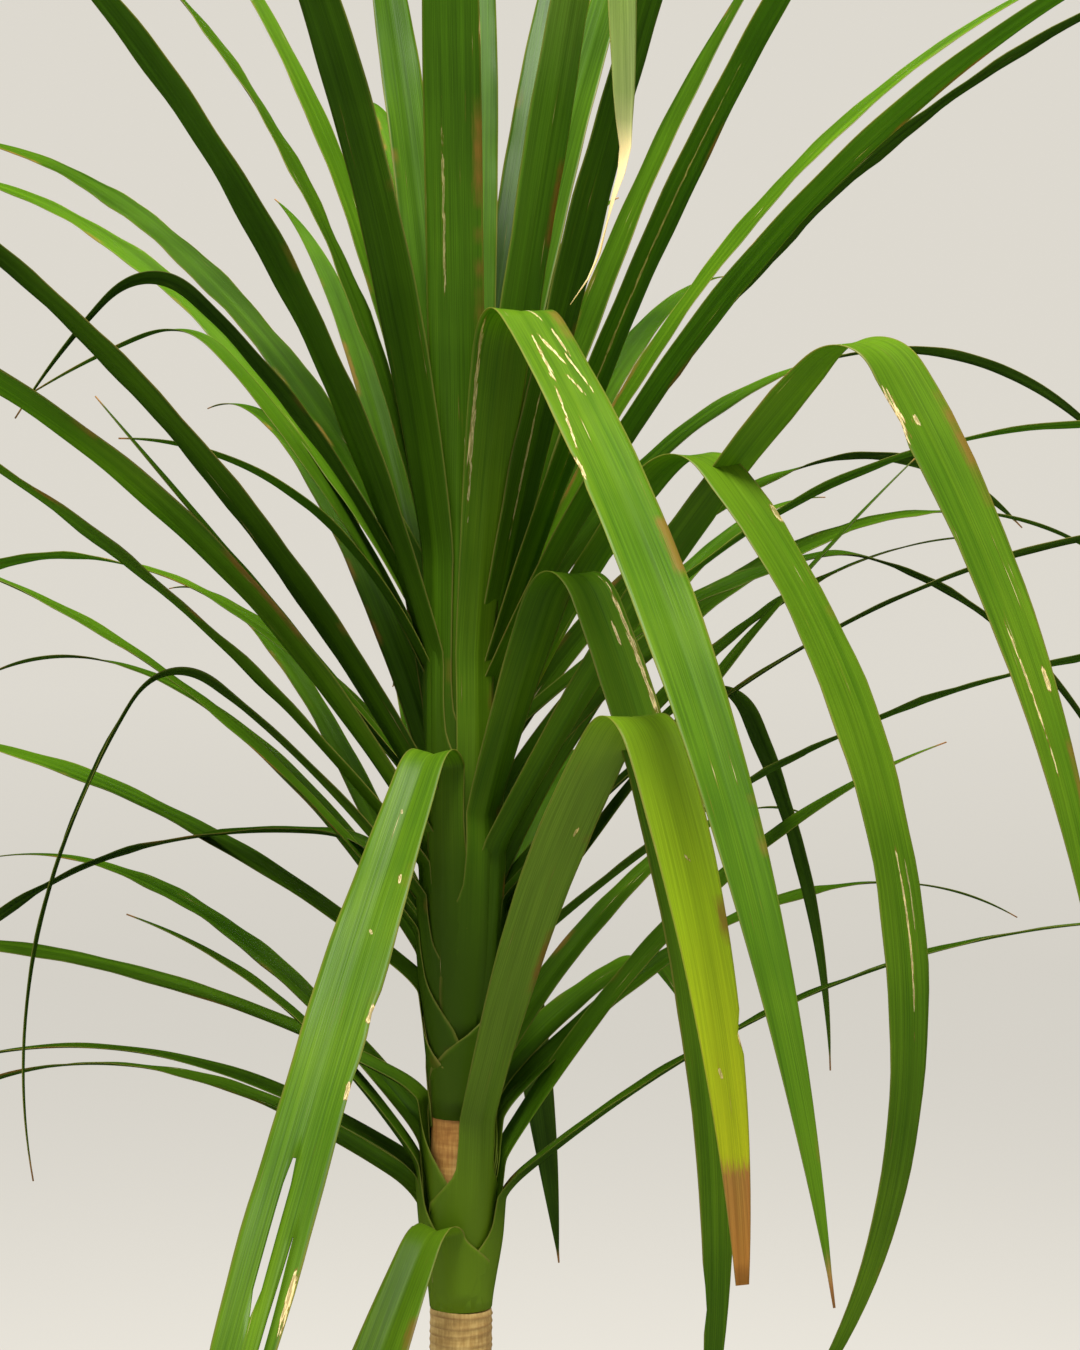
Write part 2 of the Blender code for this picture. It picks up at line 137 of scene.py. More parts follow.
def new_finish(name, roughness=0.5, specular=0.5):
    """A material and its node tree, principled shader and Object coordinates."""
    made = bpy.data.materials.new(name)
    made.use_nodes = True
    tree = made.node_tree
    shader = tree.nodes["Principled BSDF"]
    shader.inputs["Roughness"].default_value = roughness
    shader.inputs["Specular IOR Level"].default_value = specular
    return made, tree, shader, add(tree, "TexCoord").outputs["Object"]


def relief(tree, shader, height, strength, distance):
    bump = add(tree, "Bump", {"Height": height, "Strength": strength, "Distance": distance})
    tree.links.new(bump.outputs["Normal"], shader.inputs["Normal"])


def clay_finish():
    made, tree, shader, place = new_finish("terracotta", 0.88, 0.25)
    height = add(tree, "SeparateXYZ", {"Vector": place}).outputs["Z"]
    cloudy = grain(tree, place, 14.0, 5.0)
    fine = grain(tree, place, 420.0, 3.0)
    turning = add(tree, "TexNoise", {"Vector": add(tree, "Mapping", {"Vector": place, "Scale": (0.4, 0.4, 46.0)}).outputs[0],
                                     "Scale": 9.0, "Detail": 2.0}).outputs["Fac"]
    body = ramp(tree, cloudy, (0.28, (0.335, 0.118, 0.055)), (0.5, (0.430, 0.165, 0.080)), (0.75, (0.510, 0.220, 0.118)))
    body = blend(tree, 0.30, body, ramp(tree, turning, (0.3, 0.25), (0.7, 0.85)), "SOFT_LIGHT")
    body = blend(tree, 0.22, body, ramp(tree, fine, (0.35, 0.2), (0.65, 0.9)), "SOFT_LIGHT")
    lime = sums(tree, "MULTIPLY", ramp(tree, grain(tree, place, 26.0, 7.0, 0.7), (0.50, 0.0), (0.68, 1.0)),
                ramp(tree, height, (0.0, 0.75), (0.09, 0.10), (0.20, 0.05), (0.236, 0.45)))
    body = blend(tree, lime, body, (0.56, 0.47, 0.40))
    tree.links.new(body, shader.inputs["Base Color"])
    relief(tree, shader, sums(tree, "ADD", sums(tree, "MULTIPLY", fine, 0.35), turning), 0.35, 0.0006)
    return made


clay_pot = turned_piece("clay_pot", POT_RINGS, POT_SIDES)
for across, back in DRAIN_PLACES:
    bpy.ops.mesh.primitive_cylinder_add(vertices=28, radius=0.006, depth=0.04, location=(across, back, 0.0))
    drill = bpy.context.object
    hole = clay_pot.modifiers.new("drain_hole", "BOOLEAN")
    hole.operation = "DIFFERENCE"
    hole.object = drill
    apply_modifiers(clay_pot)
    bpy.data.objects.remove(drill)
pick(clay_pot)
bpy.ops.object.shade_smooth_by_angle(angle=math.radians(32))
clay_pot.data.materials.clear()
clay_pot.data.materials.append(clay_finish())
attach(clay_pot, "root")
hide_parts("pot")


# SOIL
# Dark, slightly moist potting mix: a low lumpy mound round the cane, with crumbs of peat, chips of bark
# and white grains of perlite lying on it. It is tipped in loose and pressed down by hand.
SOIL_TOP = 0.214
SOIL_MOUND = 0.006
SOIL_REACH = 0.1016
SOIL_SIDES = 120
CRUMBS, BARK_CHIPS, PERLITE_GRAINS = 900, 60, 150


def smooth(share):
    share = np.clip(share, 0.0, 1.0)
    return share * share * (3.0 - 2.0 * share)


def soil_surface(across, back):
    """Height of the soil at a place: the mound, broad lumps and fine crumbs."""
    out = math.hypot(across, back)
    level = SOIL_TOP + SOIL_MOUND * float(1.0 - smooth((out - 0.019) / 0.082))
    spot = Vector((across, back, 0.0))
    return level + 0.0022 * noise.noise(spot * 55) + 0.0011 * noise.noise(spot * 190) + 0.0005 * noise.noise(spot * 520)


def soil_finish():
    made, tree, shader, place = new_finish("potting_mix", 0.95, 0.2)
    clods = grain(tree, place, 70.0, 6.0, 0.65)
    fine = grain(tree, place, 600.0, 4.0)
    body = ramp(tree, clods, (0.30, (0.012, 0.008, 0.005)), (0.55, (0.036, 0.023, 0.014)), (0.78, (0.075, 0.050, 0.032)))
    body = blend(tree, 0.5, body, ramp(tree, fine, (0.35, 0.2), (0.65, 0.9)), "OVERLAY")
    tree.links.new(body, shader.inputs["Base Color"])
    relief(tree, shader, fine, 0.8, 0.0008)
    return made


def plain_grain_finish(name, dark, pale, scale, roughness):
    made, tree, shader, place = new_finish(name, roughness, 0.3)
    speckle = grain(tree, place, scale, 5.0, 0.6)
    tree.links.new(ramp(tree, speckle, (0.32, dark), (0.68, pale)), shader.inputs["Base Color"])
    relief(tree, shader, speckle, 0.5, 0.0004)
    return made


soil_rings = [(0.0735, 0.0125), (0.0780, 0.0300), (SOIL_REACH, SOIL_TOP)]
soil_rings += [(SOIL_REACH - 0.0024 * step, SOIL_TOP) for step in range(1, 36)]
soil_bed = turned_piece("soil_bed", soil_rings, SOIL_SIDES)
for corner in soil_bed.data.vertices:
    if corner.co.z > SOIL_TOP - 0.001:
        corner.co.z = soil_surface(corner.co.x, corner.co.y)
pick(soil_bed)
bpy.ops.object.shade_smooth_by_angle(angle=math.radians(60))
soil_look = soil_finish()
soil_bed.data.materials.append(soil_look)
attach(soil_bed, "root")
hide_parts("soil")

draw = random.Random(31)


def strewn(name, pattern, count, sizes, sink, look):
    """Copies of one grain, each turned and sized by a draw and laid on the soil, joined in one piece."""
    copies = []
    for number in range(count):
        out = 0.021 + (SOIL_REACH - 0.0245) * math.sqrt(draw.random())
        heading = draw.uniform(0, math.tau)
        across, back = out * math.cos(heading), out * math.sin(heading)
        size = draw.uniform(*sizes) * draw.choice((0.7, 1.0, 1.0, 1.4))
        copy = pattern.copy()
        copy.data = pattern.data.copy()
        bpy.context.scene.collection.objects.link(copy)
        copy.location = (across, back, soil_surface(across, back) + size * sink)
        copy.rotation_euler = (draw.uniform(-0.5, 0.5), draw.uniform(-0.5, 0.5), draw.uniform(0, math.tau))
        copy.scale = (size * draw.uniform(0.8, 1.3), size * draw.uniform(0.8, 1.3), size * draw.uniform(0.7, 1.1))
        copies.append(copy)
    bpy.data.objects.remove(pattern)
    bpy.ops.object.select_all(action="DESELECT")
    for copy in copies:
        copy.select_set(True)
    bpy.context.view_layer.objects.active = copies[0]
    bpy.ops.object.join()
    joined = bpy.context.object
    joined.name = name
    bpy.ops.object.transform_apply(location=True, rotation=True, scale=True)
    joined.data.materials.clear()
    joined.data.materials.append(look)
    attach(joined, "root")
    return joined


def rough_grain(roughness, seed):
    bpy.ops.object.select_all(action="DESELECT")
    bpy.ops.mesh.primitive_ico_sphere_add(subdivisions=1, radius=1.0)
    bpy.ops.object.mode_set(mode="EDIT")
    bpy.ops.mesh.select_all(action="SELECT")
    bpy.ops.transform.vertex_random(offset=roughness, seed=seed)
    bpy.ops.object.mode_set(mode="OBJECT")
    return bpy.context.object


def bark_chip():
    """A flat splinter with bevelled edges and corners nudged at random."""
    bpy.ops.object.select_all(action="DESELECT")
    bpy.ops.mesh.primitive_cube_add(size=1.0)
    chip = bpy.context.object
    bpy.ops.object.mode_set(mode="EDIT")
    bpy.ops.mesh.select_all(action="SELECT")
    bpy.ops.transform.resize(value=(2.4, 1.1, 0.32))
    bpy.ops.transform.vertex_random(offset=0.16, seed=5)
    bpy.ops.mesh.bevel(offset=0.08, segments=1, affect="EDGES")
    bpy.ops.object.mode_set(mode="OBJECT")
    return chip


strewn("soil_crumbs", rough_grain(0.35, 3), CRUMBS, (0.0007, 0.0018), 0.25, soil_look)
strewn("bark_chips", bark_chip(), BARK_CHIPS, (0.0022, 0.0046), 0.18,
       plain_grain_finish("bark_chip", (0.045, 0.022, 0.010), (0.140, 0.078, 0.040), 260.0, 0.85))
strewn("perlite_grains", rough_grain(0.25, 8), PERLITE_GRAINS, (0.0006, 0.0013), 0.35,
       plain_grain_finish("perlite", (0.50, 0.49, 0.46), (0.72, 0.71, 0.68), 900.0, 0.9))


# CANE
# The bare woody trunk: tan bark ringed by the scars of shed leaves, a few millimetres apart and never
# quite level. Each scar is a thin raised ledge. The cane bows a little and tapers towards the crown.
TRUNK_FOOT = 0.120
CROWN_FOOT = 0.632
TRUNK_CLEAR = 0.412
TRUNK_RADII = (0.0190, 0.0158)
TRUNK_BOW, TRUNK_BOW_HEADING = 0.007, math.radians(205)
CANE_SIDES = 96
SCARS = 121
LEDGE = ((0.00, 0.10, 0.35), (0.14, 0.42, 1.00), (0.32, 0.12, 0.45), (0.76, -0.10, 0.0))  # share of a ring, mm proud, scar


def trunk_radius(height):
    return TRUNK_RADII[0] + (TRUNK_RADII[1] - TRUNK_RADII[0]) * (height - TRUNK_FOOT) / (CROWN_FOOT - TRUNK_FOOT)


def trunk_middle(height):
    share = (height - SOIL_TOP - SOIL_MOUND) / TRUNK_CLEAR
    bow = TRUNK_BOW * math.sin(math.pi * share) ** 2 if 0.0 < share < 1.0 else 0.0
    return bow * math.cos(TRUNK_BOW_HEADING), bow * math.sin(TRUNK_BOW_HEADING)


def ringed_bark(name, foot, top, scars, sides, radius_at, middle_at, seed):
    """A cylinder cut into rings, four for each scar, that are moved to the scar's uneven ledge."""
    bpy.ops.object.select_all(action="DESELECT")
    bpy.ops.mesh.primitive_cylinder_add(vertices=sides, radius=1.0, depth=1.0, end_fill_type="NGON")
    piece = bpy.context.object
    piece.name = name
    rows = scars * len(LEDGE)
    cuts = round(math.sqrt(rows))
    for _ in range(2):
        bpy.ops.object.mode_set(mode="EDIT")
        bpy.ops.mesh.select_mode(type="EDGE")
        bpy.ops.mesh.select_all(action="DESELECT")
        bpy.ops.object.mode_set(mode="OBJECT")
        ends = piece.data.vertices
        for edge in piece.data.edges:
            first, second = (ends[corner].co for corner in edge.vertices)
            edge.select = abs(first.z - second.z) > 0.0001
        bpy.ops.object.mode_set(mode="EDIT")
        bpy.ops.mesh.subdivide(number_cuts=cuts - 1)
        bpy.ops.object.mode_set(mode="OBJECT")
    chance = random.Random(seed)
    pitch = [chance.uniform(0.75, 1.30) for _ in range(scars)]
    pitch = [wide * (top - foot) / sum(pitch) for wide in pitch]
    start = [foot + sum(pitch[:number]) for number in range(scars)]
    tilt = [(chance.uniform(0.2, 0.9) * MM, chance.uniform(0, math.tau)) for _ in range(scars)]
    scar_mark = piece.data.attributes.new("scar", "FLOAT", "POINT")
    last = cuts * cuts
    for corner in piece.data.vertices:
        row = min(round((corner.co.z + 0.5) * last), scars * len(LEDGE) - 1)
        scar, part = divmod(row, len(LEDGE))
        share, proud, mark = LEDGE[part]
        angle = math.atan2(corner.co.y, corner.co.x)
        height = start[scar] + share * pitch[scar]
        spot = Vector((math.cos(angle) * 1.6, math.sin(angle) * 1.6, height * 90))
        uneven = noise.noise(spot)
        inner = 0.0 < corner.co.z + 0.5 < 1.0
        height += (tilt[scar][0] * math.sin(angle + tilt[scar][1]) + 0.35 * MM * uneven) * inner
        radius = radius_at(height) + MM * (proud * (1.0 + 0.7 * uneven) + 0.35 * noise.noise(spot * 0.31))
        middle = middle_at(height)
        corner.co = (middle[0] + radius * math.cos(angle), middle[1] + radius * math.sin(angle), height)
        scar_mark.data[corner.index].value = mark * (0.75 + 0.5 * uneven)
    pick(piece)
    bpy.ops.object.shade_smooth_by_angle(angle=math.radians(70))
    return piece


def bark_finish(name, dark, middle, pale, scar_colour):
    made, tree, shader, place = new_finish(name, 0.72, 0.3)
    scar = add(tree, "Attribute", attribute_name="scar").outputs["Fac"]
    patches = grain(tree, place, 45.0, 5.0, 0.6)
    fibres = add(tree, "TexNoise", {"Vector": add(tree, "Mapping", {"Vector": place, "Scale": (1.0, 1.0, 0.14)}).outputs[0],
                                    "Scale": 700.0, "Detail": 3.0}).outputs["Fac"]
    streaks = add(tree, "TexNoise", {"Vector": add(tree, "Mapping", {"Vector": place, "Scale": (0.5, 0.5, 4.0)}).outputs[0],
                                     "Scale": 120.0, "Detail": 4.0}).outputs["Fac"]
    body = ramp(tree, patches, (0.30, dark), (0.52, middle), (0.74, pale))
    body = blend(tree, 0.45, body, ramp(tree, fibres, (0.32, 0.15), (0.68, 0.9)), "SOFT_LIGHT")
    body = blend(tree, 0.35, body, ramp(tree, streaks, (0.35, 0.2), (0.65, 0.85)), "SOFT_LIGHT")
    body = blend(tree, sums(tree, "MULTIPLY", scar, 0.72, True), body, scar_colour)
    tree.links.new(body, shader.inputs["Base Color"])
    relief(tree, shader, sums(tree, "ADD", fibres, sums(tree, "MULTIPLY", streaks, 0.6)), 0.30, 0.0004)
    return made


cane = ringed_bark("cane", 0.150, CROWN_FOOT, SCARS, CANE_SIDES, trunk_radius, trunk_middle, 12)
cane.data.materials.append(bark_finish("cane_bark", (0.340, 0.205, 0.065), (0.540, 0.355, 0.120),
                                       (0.660, 0.480, 0.210), (0.260, 0.135, 0.042)))
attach(cane, "root")
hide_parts("trunk")


# YOUNG STEM
# The top of the cane inside the leaf bases. It still grows, so its bark is orange-tan and smooth, and it
# shows only where two leaf bases stand apart.
STEM_OUTLINE = ((0.0, 15.4), (40.0, 15.6), (200.0, 15.0), (260.0, 13.0), (300.0, 9.5), (345.0, 3.0), (360.0, 0.0))


def stem_radius(height):
    """Radius of the bare young stem in mm, at a height in mm above the lowest leaf."""
    return np.interp(height, *zip(*STEM_OUTLINE))


young_stem = ringed_bark("young_stem", CROWN_FOOT, CROWN_FOOT + 0.345, 16, 32,
                         lambda height: MM * float(stem_radius((height - CROWN_FOOT) / MM)) - 0.0003,
                         lambda height: (0.0, 0.0), 4)
young_stem.data.materials.append(bark_finish("young_bark", (0.330, 0.140, 0.030), (0.470, 0.240, 0.060),
                                             (0.560, 0.350, 0.120), (0.300, 0.130, 0.035)))
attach(young_stem, "root")
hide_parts("crown")


# LEAVES
# Long strap leaves, each grown from a base that clasps the stem nearly all round. The blade leaves the
# base as a channel, flattens, and ends in a long point; some have kinked over and hang. They are tough
# and waxy, with fine parallel veins, a thin tan margin and dry scars, and let strong light through.
Leaf = namedtuple("Leaf", "root heading length width rise droop fold_at fold lost below clasp",
                  defaults=(0, 0, 0, 9, 102))
FRONT_LEAVES = {
    "long_hanging_leaf": Leaf(228, -67.5, 816, 32, 80.5, 47, 286, 107, 0, 58, 80),
    "torn_leaf": Leaf(196, -109, 660, 33, 72, 15, 100, 118, 0, 48, 88),
    "yellowing_leaf": Leaf(34, -65, 600, 30, 63.5, 58, 345, 92.5, 35, 9, 140),
    "inner_hanging_leaf": Leaf(180, -57, 680, 29, 67, 66, 224, 108, 0, 42, 78),
    "right_hanging_leaf": Leaf(212, -42, 800, 29, 62.5, 112, 273, 85, 0, 50, 78),
    "far_right_hanging_leaf": Leaf(168, -38, 752, 31, 58, 45, 398, 98, 0, 34, 88),
    "top_folded_leaf": Leaf(272, -50, 620, 26, 79, 10, 430, 160, 0, 60, 80),
    "upright_leaf_1": Leaf(285, -92, 620, 29, 83, 18, 0, 0, 0, 60, 80),
    "upright_leaf_2": Leaf(246, -38, 620, 28, 76, 12, 0, 0, 0, 50, 80),
    "striped_leaf": Leaf(248, -28, 640, 28, 71, 25, 0, 0, 0, 50, 80),
    "upright_leaf_3": Leaf(268, -133, 620, 29, 84, 38, 0, 0, 0, 60, 80),
    "upright_leaf_4": Leaf(257, -145, 620, 29, 73, 48, 0, 0, 0, 50, 80),
    "lowest_leaf": Leaf(0, -113, 460, 32, 70, 30, 50, 110, 0, 0, 170),
}
SIDE_LEAVES = (
    (255, 14, 640, 26, 69, 48), (250, -28, 640, 27, 65, 55), (255, -15, 650, 27, 66, 58), (255, 35, 640, 26, 60, 100),
    (200, -12, 640, 28, 60, 110), (215, 45, 620, 26, 52, 80), (230, 25, 560, 24, 44, 90, 300, 20),
    (192, 38, 620, 27, 47, 70), (150, 8, 600, 27, 48, 60), (116, -14, 620, 27, 44, 65, 0, 0, 0, 18, 150), (15, 22, 410, 25, 57, 40),
    (148, 30, 480, 15, 49, 45, 245, 92), (5, -5, 480, 24, 42, 50, 0, 0, 0, 5, 120), (50, 60, 335, 22, 30, 40, 250, 35),
    (20, 75, 400, 22, 55, 15, 180, 110), (112, 18, 430, 22, 54, 12),
    (197, -140, 640, 29, 58, 48), (178, -150, 630, 28, 58, 62), (168, -160, 610, 27, 51, 42), (280, 150, 600, 25, 61, 60),
    (298, 140, 640, 25, 56, 50), (280, -165, 400, 24, 66, 40, 300, 85), (258, 165, 405, 24, 66, 35, 300, 60),
    (200, 150, 560, 24, 53, 105), (132, 175, 560, 25, 54, 62), (150, -165, 510, 26, 55, 65, 240, 90),
    (107, 155, 520, 24, 36, 45, 0, 0, 0, 2, 125), (150, 160, 480, 25, 48, 80, 110, 35), (55, 165, 480, 24, 27, 45, 0, 0, 0, 9, 98),
    (15, 178, 262, 22, 60, 40), (15, 165, 470, 24, 32, 80), (2, 150, 430, 22, 28, 60, 0, 0, 0, 2, 120), (204, 178, 330, 25, 50, 0),
    (262, -172, 275, 22, 75, 75),
    (290, 88, 600, 22, 84, 15), (262, 72, 650, 29, 72, 12), (290, 55, 600, 26, 74, 15), (265, 35, 570, 26, 74, 25),
    (300, 150, 560, 22, 80, 35), (300, 160, 600, 26, 79, 50), (300, 115, 600, 24, 82, 25),
)
BACK_LEAVES, BACK_SEED, BACK_FROM, BACK_TO, BACK_START, SPIRAL_STEP = 18, 7, 32, 150, 106, 137.5
BLADE_COLUMNS, BLADE_ROWS = 14, 88
SHEATH_LEAN = 0.085             # mm outwards for each mm up, so that a lower leaf's base wraps a higher one's


def back_leaves():
    """The far side's leaves, one turn of the growth spiral after another up the stem."""
    chance = random.Random(BACK_SEED)
    leaves = []
    for number in range(BACK_LEAVES):
        share = (number + 0.5) / BACK_LEAVES
        heading = BACK_FROM + (BACK_START + number * SPIRAL_STEP) % (BACK_TO - BACK_FROM)
        if share > 0.65:
            heading = 90 + 0.45 * (heading - 90)
        leaves.append(Leaf(root=round(20 + 270 * share), heading=round(heading),
                           length=round(500 + 110 * share + chance.uniform(-30, 30)),
                           width=round(18 + chance.uniform(-2, 3)),
                           rise=round(38 + 34 * share + chance.uniform(-4, 4)),
                           droop=round(62 - 14 * share + chance.uniform(-12, 12)), clasp=85))
    return leaves


def slope(leaf, along):
    """The blade's slope in degrees, at distances in mm from its root."""
    angle = 87 + (leaf.rise - 87) * smooth((along - 22) / 55)
    angle = angle - leaf.droop * (np.maximum(along, 0) / leaf.length) ** 1.5
    if leaf.fold:
        angle = angle - leaf.fold * smooth((along - leaf.fold_at) / 60 + 0.5)
    return angle


def blade_width(leaf, along):
    """The blade's width in mm: a clasping foot, a neck, a broad middle and a long taper."""
    share = along / (leaf.length + leaf.lost)
    foot = 26 - 6 * smooth(along / 60)
    body = np.where(along < 60, foot, 20 + (leaf.width - 20) * smooth((share - 0.08) / 0.30))
    tip = np.maximum(share - 0.55, 0.0) / 0.45
    return np.maximum(body * (1.0 - tip ** 1.7), 0.9)


def blade_rows(leaf):
    """For each row of the blade, crowded where it bends: distance from the root, reach, height and slope."""
    fine = np.linspace(-leaf.below, leaf.length, 1200)
    step = fine[1] - fine[0]
    angle = np.radians(np.where(fine < 0, 90.0, slope(leaf, fine)))
    middle = (angle[1:] + angle[:-1]) / 2
    at_root = np.searchsorted(fine, 0.0)
    reach = np.concatenate([[0.0], np.cumsum(step * np.cos(middle))])
    height = np.concatenate([[0.0], np.cumsum(step * np.sin(middle))])
    root_radius = 15.5 - 8.0 * leaf.root / 330 - 4.0
    reach += root_radius - reach[at_root]
    height += leaf.root - height[at_root]
    hug = stem_radius(height) + 0.3 + SHEATH_LEAN * np.clip(fine + leaf.below, 0, leaf.below + 60)
    reach = (reach + hug + np.sqrt((reach - hug) ** 2 + 0.6)) / 2
    near = fine < 220
    reach[near] = np.maximum.accumulate(reach[near])
    effort = fine + 170 * np.concatenate([[0.0], np.cumsum(np.abs(np.diff(angle)))])
    along = np.interp(np.linspace(effort[0], effort[-1], BLADE_ROWS), effort, fine)
    return along, *(np.interp(along, fine, value) for value in (reach, height, angle))


def blade_mesh(name, leaf, chance, tone_and_painted_light_range, calm=False, slits=(), nicks=(), dry_from=0, turn=0):
    """A grid laid along the leaf's line, wrapped round the stem at its base, then given its thickness."""
    bpy.ops.object.select_all(action="DESELECT")
    bpy.ops.mesh.primitive_grid_add(x_subdivisions=BLADE_COLUMNS, y_subdivisions=BLADE_ROWS - 1, size=2)
    piece = bpy.context.object
    piece.name = name
    flat = np.array([corner.co[:] for corner in piece.data.vertices])
    column = np.rint((flat[:, 0] + 1) / 2 * BLADE_COLUMNS).astype(int)
    row = np.rint((flat[:, 1] + 1) / 2 * (BLADE_ROWS - 1)).astype(int)
    along, reach, height, angle = (value[row] for value in blade_rows(leaf))
    across = flat[:, 0].copy()

    gaps = set()
    for place, first, last, gap in slits:
        left = int(np.clip(round((place + 1) / 2 * BLADE_COLUMNS - 0.5), 1, BLADE_COLUMNS - 2))
        half = blade_width(leaf, along) / 2
        open_share = smooth((along - first) / (0.35 * (last - first))) * (along > first) * (along < last + 1)
        near = smooth((along - first + 60) / 60) * (along < last + 60)
        for side, edge in ((-1, left), (1, left + 1)):
            here = column == edge
            wanted = place + side * (0.4 + gap * open_share) / 2 / half
            across[here] = (across + (wanted - across) * near)[here]
        gaps.update((left, r) for r in set(row[(along > first) & (along < last)]))
    for side, centre, depth, span in nicks:
        bite = np.clip(1 - np.abs(along - centre) / span, 0, 1) * (across * side > 0.75)
        across = across * (1 - bite * depth / (blade_width(leaf, along) / 2))

    loose = smooth((along - 6) / 46)
    roll = np.radians(16 + 74 * (1 - smooth(along / 60)) + 14 * smooth(along / 60) * (1 - smooth((along - 60) / 220)))
    blade_radius = blade_width(leaf, np.maximum(along, 0)) / roll
    section_radius = reach + (blade_radius - reach) * loose
    wide = math.radians(2 * leaf.clasp) * section_radius
    wide = wide + (blade_width(leaf, np.maximum(along, 0)) - wide) * smooth((along + 4) / 44)
    bend = across * wide / 2 / section_radius

    heading = math.radians(leaf.heading)
    out = np.array([math.cos(heading), math.sin(heading), 0.0])
    side = np.array([-math.sin(heading), math.cos(heading), 0.0])
    up = np.array([0.0, 0.0, 1.0])
    over = np.cos(angle)[:, None] * up - np.sin(angle)[:, None] * out
    share = np.clip(along / leaf.length, 0, 1)
    free = smooth((along - 70) / 160)
    twist = math.radians(chance.uniform(-5, 5) if calm else chance.uniform(-16, 16)) * share * free
    twist = twist + math.radians(turn) * smooth((along - leaf.fold_at) / 90 + 0.5)
    sway = (chance.uniform(-1.5, 1.5) if calm else chance.uniform(-6, 6)) * np.sin(math.pi * share) * free
    wave_length, wave_start = chance.uniform(75, 150), chance.uniform(0, math.tau)
    wave_height = chance.uniform(0.3, 0.9) * free * (1 - smooth((share - 0.6) / 0.3))
    waves = wave_height * across * np.abs(across) * np.sin(math.tau * along / wave_length + wave_start)
    waves += 0.4 * wave_height * np.abs(across) ** 3 * np.sin(math.tau * along / (0.37 * wave_length))
    from_midrib = across * wide / 2
    keel = -0.35 * free * np.exp(-(from_midrib / 1.4) ** 2) * (1 - smooth((share - 0.6) / 0.3))
    channel = smooth((along + leaf.below) / 40) * (1 - smooth((along - 40) / 200))
    keel -= 2.6 * channel * np.exp(-np.abs(from_midrib) / 4.5)
    dried = smooth((along - dry_from) / 30) if dry_from else 0.0 * along
    thread = np.clip(along - dry_from - 10, 0, 200) * (dry_from > 0)

    shrink = 1 - 0.60 * dried
    twist = twist + np.radians(2.6 * thread)
    sideways = section_radius * np.sin(bend) * shrink + sway
    raised = section_radius * (1 - np.cos(bend)) * shrink + waves * shrink + keel
    turn_side = np.cos(twist)[:, None] * side + np.sin(twist)[:, None] * over
    turn_over = np.cos(twist)[:, None] * over - np.sin(twist)[:, None] * side
    drift = -0.0040 * thread ** 2 + 1.5 * np.sin(thread / 9)
    place = reach[:, None] * out + height[:, None] * up + drift[:, None] * side
    place = place + sideways[:, None] * turn_side + raised[:, None] * turn_over
    place = place * MM + np.array([0.0, 0.0, CROWN_FOOT])
    piece.data.vertices.foreach_set("co", place.astype(np.float32).ravel())

    # A leaf's tone is drawn from its range. It is partly random tone and partly painted light and painted shade.
    tone_and_painted_light = chance.uniform(*tone_and_painted_light_range)
    marks = {"across": across, "from_midrib": from_midrib, "along": along, "dried": dried,
             # Share of the way up the stem to full painted shade at the leaf base.
             "painted_base_shade": np.full(len(across), min(leaf.root / 130, 1.0)),
             "tip": along / (leaf.length + leaf.lost), "tone_and_painted_light": np.full(len(across), tone_and_painted_light)}
    for mark, values in marks.items():
        attribute = piece.data.attributes.new(mark, "FLOAT", "POINT")
        attribute.data.foreach_set("value", values.astype(np.float32))

    if gaps:
        faces = piece.data.polygons
        for face in faces:
            corners = list(face.vertices)
            face.select = (min(column[c] for c in corners), min(row[c] for c in corners)) in gaps
        for corner in piece.data.vertices:
            corner.select = False
        for edge in piece.data.edges:
            edge.select = False
        bpy.ops.object.mode_set(mode="EDIT")
        bpy.ops.mesh.select_mode(type="FACE")
        bpy.ops.mesh.delete(type="ONLY_FACE")
        bpy.ops.object.mode_set(mode="OBJECT")

    body = piece.vertex_groups.new(name="thick")
    slim = 1 - 0.55 * np.abs(across) ** 3
    for number, value in enumerate(slim):
        body.add([number], float(value), "REPLACE")
    shell = piece.modifiers.new("thickness", "SOLIDIFY")
    shell.thickness = 0.8 * MM
    shell.offset = 0.0
    shell.vertex_group = "thick"
    apply_modifiers(piece)
    piece.vertex_groups.clear()
    bpy.ops.object.shade_smooth()
    return piece


# The leaf green runs from a dark end to a light end by a per-leaf value that is partly random tone and partly painted
# light: hanging leaves are painted lighter as if lit from above, upright and back leaves darker as painted shade.
GREENS = {
    "shade": (0.018, 0.056, 0.0008),
    "body": (0.064, 0.150, 0.0035),
    "fresh_and_lit": (0.150, 0.265, 0.0090),
    "old_base": (0.170, 0.290, 0.0110),
    # Darker base green for leaves higher up the stem: painted shade inside the crown.
    "painted_shade_base": (0.050, 0.105, 0.0040),
    "margin": (0.260, 0.235, 0.0500),
    "scar": (0.720, 0.620, 0.3600),
    "scar_rim": (0.230, 0.125, 0.0250),
    "dead": (0.330, 0.180, 0.0600),
}


